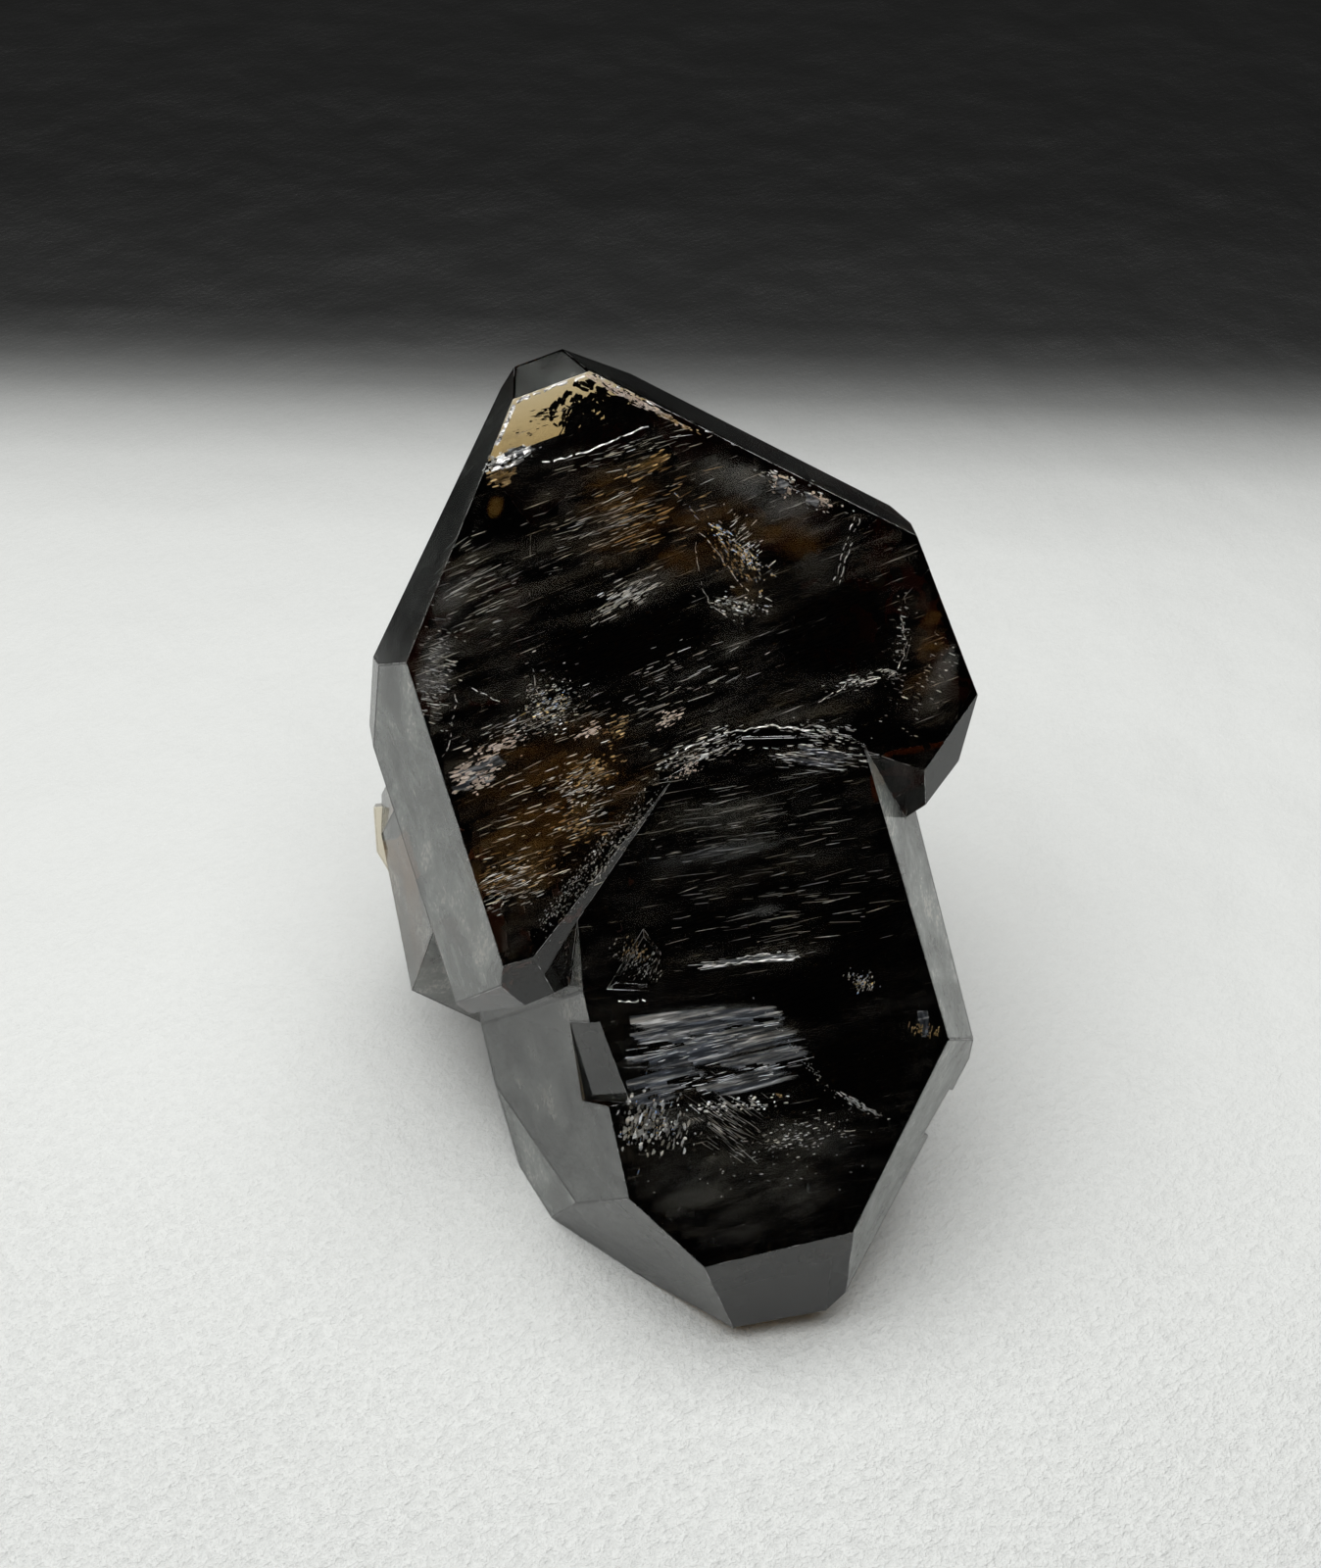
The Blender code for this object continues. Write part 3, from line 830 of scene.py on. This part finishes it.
# Cracks: face, points, depth, width.
CRACKS = (
    (UP, ((-4.82, 12.50), (-5.56, 10.70)), 0.05, 0.14),
    (UP, ((-4.75, 12.60), (-2.50, 13.46)), 0.05, 0.12),
    (UP, ((-5.55, 10.55), (-5.0, 10.75), (-4.3, 11.05)), 0.07, 0.16),
    (UP, ((-5.6, 10.35), (-5.0, 10.50), (-4.5, 10.70)), 0.07, 0.12),
    (UP, ((-3.9, 10.6), (-2.9, 10.8), (-1.8, 11.2), (-0.3, 11.85)), 0.06, 0.065),
    (LOW, ((1.4, -6.05), (2.6, -5.95), (4.6, -5.75)), 0.06, 0.06),
    (LOW, ((2.4, -5.80), (4.0, -5.60)), 0.06, 0.04),
    (UP, ((5.2, 2.7), (6.3, 3.35), (7.5, 3.5), (7.9, 3.9), (8.1, 4.7), (7.9, 5.5)), 0.15, 0.035),
    (UP, ((1.15, 8.2), (1.25, 6.9), (1.55, 6.0), (2.2, 5.5)), 0.12, 0.02),
    (UP, ((1.3, 8.3), (2.1, 7.4), (2.7, 6.5), (3.8, 6.0)), 0.16, 0.03),
    (UP, ((-6.9, 3.2), (-6.7, 2.7), (-6.9, 1.8), (-7.0, 1.2), (-7.2, 0.9)), 0.10, 0.04),
    (UP, ((-6.2, 3.2), (-5.3, 2.7)), 0.10, 0.03),
    (UP, ((-4.2, 3.8), (-4.05, 2.9)), 0.08, 0.03),
    (UP, ((6.4, 8.8), (6.0, 7.6), (5.7, 6.6)), 0.08, 0.03),
    (UP, ((6.55, 8.75), (6.15, 7.5), (5.85, 6.5)), 0.08, 0.03),
    (UP, ((-0.1, 0.6), (0.9, 1.2), (2.2, 1.7), (3.6, 1.9), (5.0, 1.8)), 0.10, 0.06),
    (LOW, ((6.1, -10.3), (6.6, -10.6), (7.2, -11.0)), 0.10, 0.04),
    (LOW, ((-1.4, -7.25), (-0.5, -7.2)), 0.10, 0.06),
    (UP, ((-2.4, 13.60), (0.2, 12.30), (3.2, 10.80)), 0.05, 0.05),
)

# Side faces under which there is haze: turn and lean of the face, and how much. The haze partly
# stands in for each face's reflection of the pale surface, as a painted reflection.
SIDE_HAZE_AND_REFLECTION = (
    (197.7, 62, 0.42), (286.7, 42, 0.02), (195, 62, 0.19), (186.4, 63, 0.20), (199.5, 66, 0.48),
    (229, 63.5, 0.10), (14.4, 66, 0.66), (332.2, 64, 0.68), (282.6, 43, 0.015), (326, 57, 0.015),
    (191, 66, 0.28), (284, 60, 0.50), (110.3, 38.2, 0.14), (63.3, 66.9, 0.03), (204, 53.3, 0.05),
    (187, 71.4, 0.3), (176, 72, 0.3), (245.7, 66.9, 0.05), (157.8, 62, 0.07),
)

# Painted shade on the surface: how bright it is painted, by tens of centimetres behind the group's
# middle, darkening nearly to black where the light falls off.
FLOOR_PAINTED_SHADE = (
    (0.0, 1.0), (0.22, 0.97), (0.30, 0.91), (0.355, 0.74), (0.394, 0.45), (0.418, 0.22),
    (0.436, 0.115), (0.455, 0.050), (0.48, 0.022), (0.60, 0.011),
)


def looks(turn, lean):
    """Direction that a face looks in, on the drawing."""
    turn, lean = math.radians(turn), math.radians(lean)
    flat = math.sin(lean)
    return Vector((math.cos(turn) * flat, math.sin(turn) * flat, math.cos(lean)))


class HERKIMER_OT_crystal(bpy.types.Operator):
    """Makes the clear crystal group, with worn edges"""

    bl_idname = "herkimer.crystal"
    bl_label = "Crystal group"

    def execute(self, context):
        settings = context.scene.herkimer_quartz
        shape = merged_solid()
        wear = shape.faces.layers.float.new("wear")
        sharp = [e for e in shape.edges if e.is_manifold and e.calc_face_angle() > SHARP]
        worn = bmesh.ops.bevel(
            shape, geom=sharp, offset=settings.edge_wear, offset_type="OFFSET", segments=2,
            profile=0.5, affect="EDGES", material=-1, clamp_overlap=True,
        )
        for face in worn["faces"]:
            face[wear] = 1.0
        piece = finished("crystal_group", shape, quartz_material(settings))
        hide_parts(NODE)
        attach(piece, "root")
        return {"FINISHED"}


class HERKIMER_OT_side_haze(bpy.types.Operator):
    """Makes the thin haze under the grey side faces, partly a painted reflection of the pale
    surface
    """

    bl_idname = "herkimer.side_haze"
    bl_label = "Side haze"

    def execute(self, context):
        shape = drawn_solid()
        cover = shape.verts.layers.float.new("cover")
        kept = {}
        for face in shape.faces:
            face.normal_update()
            kept[face] = max((amount for turn, lean, amount in SIDE_HAZE_AND_REFLECTION
                              if face.normal.dot(looks(turn, lean)) > SAME_WAY), default=0)
        bmesh.ops.delete(shape, geom=[f for f in kept if not kept[f]], context="FACES")
        amounts = [kept[face] for face in shape.faces]
        bmesh.ops.split_edges(shape, edges=shape.edges[:])
        for face, amount in zip(shape.faces[:], amounts):
            for vertex in face.verts:
                vertex[cover] = amount
        rim = bmesh.ops.inset_individual(
            shape, faces=shape.faces[:], thickness=HAZE_RIM, use_even_offset=True
        )
        bmesh.ops.delete(shape, geom=rim["faces"], context="FACES")
        for face in shape.faces:
            bmesh.ops.translate(shape, verts=face.verts[:], vec=face.normal * -HAZE_DEPTH)
        thicken(shape, FILM)
        rider("side_haze", shape, haze_and_reflection_material())
        return {"FINISHED"}


class HERKIMER_OT_flakes(bpy.types.Operator):
    """Makes the silver, golden, cream, black and iridescent flakes inside the crystals"""

    bl_idname = "herkimer.flakes"
    bl_label = "Flakes"

    def execute(self, context):
        settings = context.scene.herkimer_inclusions
        inside = Inside()
        silver, gold = tuple(settings.silver), tuple(settings.gold)
        blue, amber = (0.30, 0.50, 0.95), (0.95, 0.72, 0.25)
        # Name, seed and clusters, then light and dark colour, metallic and roughness.
        for name, seed, clusters, *look in (
            ("silver_flakes", 11, SILVER, silver, (0.50, 0.55, 0.62), 0.85, 0.22),
            ("golden_flakes", 12, GOLD, gold, (0.20, 0.12, 0.05), 0.6, 0.3),
            ("cream_flakes", 13, CREAM, (0.95, 0.86, 0.80), (0.60, 0.48, 0.42), 0.3, 0.3),
            ("black_flakes", 14, BLACK, (0.008, 0.007, 0.006), (0.002, 0.002, 0.002), 0.0, 0.4),
            ("iridescent_flakes", 15, IRIDESCENT, blue, amber, 0.8, 0.2),
        ):
            material = film_material(name, *look)
            rider(name, flakes(clusters, inside, seed, settings.density), material)
        return {"FINISHED"}


class HERKIMER_OT_streaks(bpy.types.Operator):
    """Makes the films of fine streaks right across the crystals"""

    bl_idname = "herkimer.streaks"
    bl_label = "Streaks"

    def execute(self, context):
        silver = tuple(context.scene.herkimer_inclusions.silver)
        inside = Inside()
        for name, heading, brightness, place in STREAKS:
            whole = bmesh.new()
            for depth, tips in SHEETS:
                add_streak_sheet(whole, inside, *place, depth, tips)
            light = tuple(part * brightness for part in silver)
            dark = tuple(part * brightness for part in (0.22, 0.21, 0.20))
            rider(name, whole, streak_material(name, light, dark, heading))
        return {"FINISHED"}


class HERKIMER_OT_clouds(bpy.types.Operator):
    """Makes the soft brown stains, grey hazes and layered plates"""

    bl_idname = "herkimer.clouds"
    bl_label = "Stains, hazes and plates"

    def execute(self, context):
        inside = Inside()
        stain = cloud_material(
            "brown stains", (0.30, 0.17, 0.03), (0.10, 0.05, 0.012),
            heading=21, cover=0.48, grain=0.25, soft=0.18,
        )
        haze = cloud_material(
            "grey hazes", (0.55, 0.60, 0.68), (0.28, 0.31, 0.36),
            heading=21, cover=0.16, grain=0.45, soft=0.22,
        )
        plate = plate_material((0.62, 0.64, 0.68), (0.07, 0.085, 0.115), 12)
        for name, table, fade, seed, material in (
            ("brown_stains", STAINS, True, 31, stain),
            ("grey_hazes", HAZES, True, 32, haze),
            ("silver_plates", PLATES, False, 33, plate),
        ):
            draw = random.Random(seed)
            whole = bmesh.new()
            for row in table:
                add_sheet(whole, draw, inside, fade, *row)
            rider(name, whole, material)
        return {"FINISHED"}


class HERKIMER_OT_cracks(bpy.types.Operator):
    """Makes the bright lines of the cracks"""

    bl_idname = "herkimer.cracks"
    bl_label = "Cracks"

    def execute(self, context):
        draw = random.Random(41)
        inside = Inside()
        whole = bmesh.new()
        for row in CRACKS:
            add_crack(whole, draw, inside, *row)
        light, dark = (0.97, 0.97, 0.96), (0.22, 0.22, 0.23)
        rider("cracks", whole, film_material("bright cracks", light, dark, 0.85, 0.2))
        return {"FINISHED"}


class HERKIMER_OT_studio(bpy.types.Operator):
    """Makes the pale surface, the light and the camera"""

    bl_idname = "herkimer.studio"
    bl_label = "Studio"

    def execute(self, context):
        settings = context.scene.herkimer_studio
        self.lay_surface(settings)
        self.hang_light(context.scene, settings)
        self.set_camera(context.scene, settings)
        return {"FINISHED"}

    def lay_surface(self, settings):
        """A pale padded surface, with painted shade that darkens its far part nearly to black."""
        shape = bmesh.new()
        bmesh.ops.create_grid(shape, x_segments=1, y_segments=1, size=FLOOR_HALF)
        shade = Shade("pale surface")
        where = shade.node("TexCoord").outputs["Object"]
        parts = shade.node("SeparateXYZ", {}, {0: where})
        side = Value(shade, parts.outputs["X"])
        # Painted shade: the surface's colour darkens towards the back, a little sooner on the
        # right.
        far = (Value(shade, parts.outputs["Y"]) + side * 0.05) * 10
        fade = shade.node(
            "ValToRGB",
            {"stops": [(at, (level,) * 3) for at, level in FLOOR_PAINTED_SHADE]}, {0: far},
        )
        creases = shade.noise(shade.along(where, 35, (1.0, 1.5, 1.0)), 1900.0, 3.0, 0.65)
        grain = shade.noise(where, 6500.0, 2.0, 0.6)
        padding = shade.noise(where, 160.0, 2.0, 0.5)
        near = (far * -1).between(-0.10, 0.22) * 0.8 + 0.2
        height = (creases * 0.7 + grain * 0.3) * near + padding * 1.5
        # Painted shade in the creases: the colour is darker in the low parts of the relief and
        # paler on its tops.
        crease_shade = (creases * 0.75 + grain * 0.25).between(0.40, 0.58) * near
        pale = shade.mix(crease_shade, tuple(c * 0.92 for c in settings.surface), tuple(settings.surface))
        surface = shade.node(
            "BsdfPrincipled", {},
            {
                "Base Color": shade.node(
                    "Mix", {"data_type": "RGBA", "blend_type": "MULTIPLY"},
                    {0: 1.0, 6: pale, 7: fade.outputs[0]},
                ).outputs[2],
                "Roughness": 0.45,
                "Specular IOR Level": 0.3,
                "Normal": shade.bump(height, 0.75, 0.00045),
            },
        )
        finished("floor", shape, shade.finish(surface))

    def hang_light(self, scene, settings):
        data = bpy.data.lights.new("overhead light", "AREA")
        data.shape = "RECTANGLE"
        data.size, data.size_y = LAMP_SIZE
        data.energy = settings.light
        lamp = bpy.data.objects.new("overhead light", data)
        lamp.location = LAMP_PLACE
        scene.collection.objects.link(lamp)
        world = bpy.data.worlds.new("dark studio")
        world.use_nodes = True
        colour = world.node_tree.nodes["Background"].inputs["Color"]
        colour.default_value = (ROOM_LIGHT, ROOM_LIGHT, ROOM_LIGHT, 1)
        scene.world = world

    def set_camera(self, scene, settings):
        data = bpy.data.cameras.new("camera")
        data.lens = settings.lens
        data.sensor_width = 36.0
        data.clip_start = 0.001
        camera = bpy.data.objects.new("camera", data)
        camera.location = DRAWING @ Vector((0, 0, EYE_DISTANCE))
        camera.rotation_euler = (TILT, 0, 0)
        scene.collection.objects.link(camera)
        scene.camera = camera
        scene.view_settings.view_transform = "Standard"
        scene.cycles.transparent_max_bounces = 32
        scene.cycles.transmission_bounces = 7
        scene.cycles.diffuse_bounces = 3
        scene.cycles.max_bounces = 8


class HERKIMER_PT_panel(bpy.types.Panel):
    """Lists the steps that make the crystal group"""

    bl_label = "Herkimer diamond"
    bl_idname = "HERKIMER_PT_panel"
    bl_space_type = "VIEW_3D"
    bl_region_type = "UI"
    bl_category = "Herkimer diamond"

    def draw(self, context):
        for step in STEPS:
            self.layout.operator(step.bl_idname)
        for name in GROUPS:
            settings = getattr(context.scene, name)
            for field in settings.bl_rna.properties.keys():
                if field not in {"rna_type", "name"}:
                    self.layout.prop(settings, field)


STEPS = (
    HERKIMER_OT_studio, HERKIMER_OT_crystal, HERKIMER_OT_side_haze, HERKIMER_OT_streaks,
    HERKIMER_OT_clouds, HERKIMER_OT_cracks, HERKIMER_OT_flakes,
)
GROUPS = {
    "herkimer_quartz": QuartzSettings,
    "herkimer_inclusions": InclusionSettings,
    "herkimer_studio": StudioSettings,
}
CLASSES = (*GROUPS.values(), *STEPS, HERKIMER_PT_panel)


def register():
    for item in CLASSES:
        bpy.utils.register_class(item)
    for name, group in GROUPS.items():
        setattr(bpy.types.Scene, name, bpy.props.PointerProperty(type=group))


def unregister():
    for name in GROUPS:
        delattr(bpy.types.Scene, name)
    for item in reversed(CLASSES):
        bpy.utils.unregister_class(item)


def main():
    register()
    bpy.ops.herkimer.studio()
    bpy.ops.herkimer.crystal()
    bpy.ops.herkimer.side_haze()
    bpy.ops.herkimer.streaks()
    bpy.ops.herkimer.clouds()
    bpy.ops.herkimer.cracks()
    bpy.ops.herkimer.flakes()


if __name__ == "__main__":
    main()
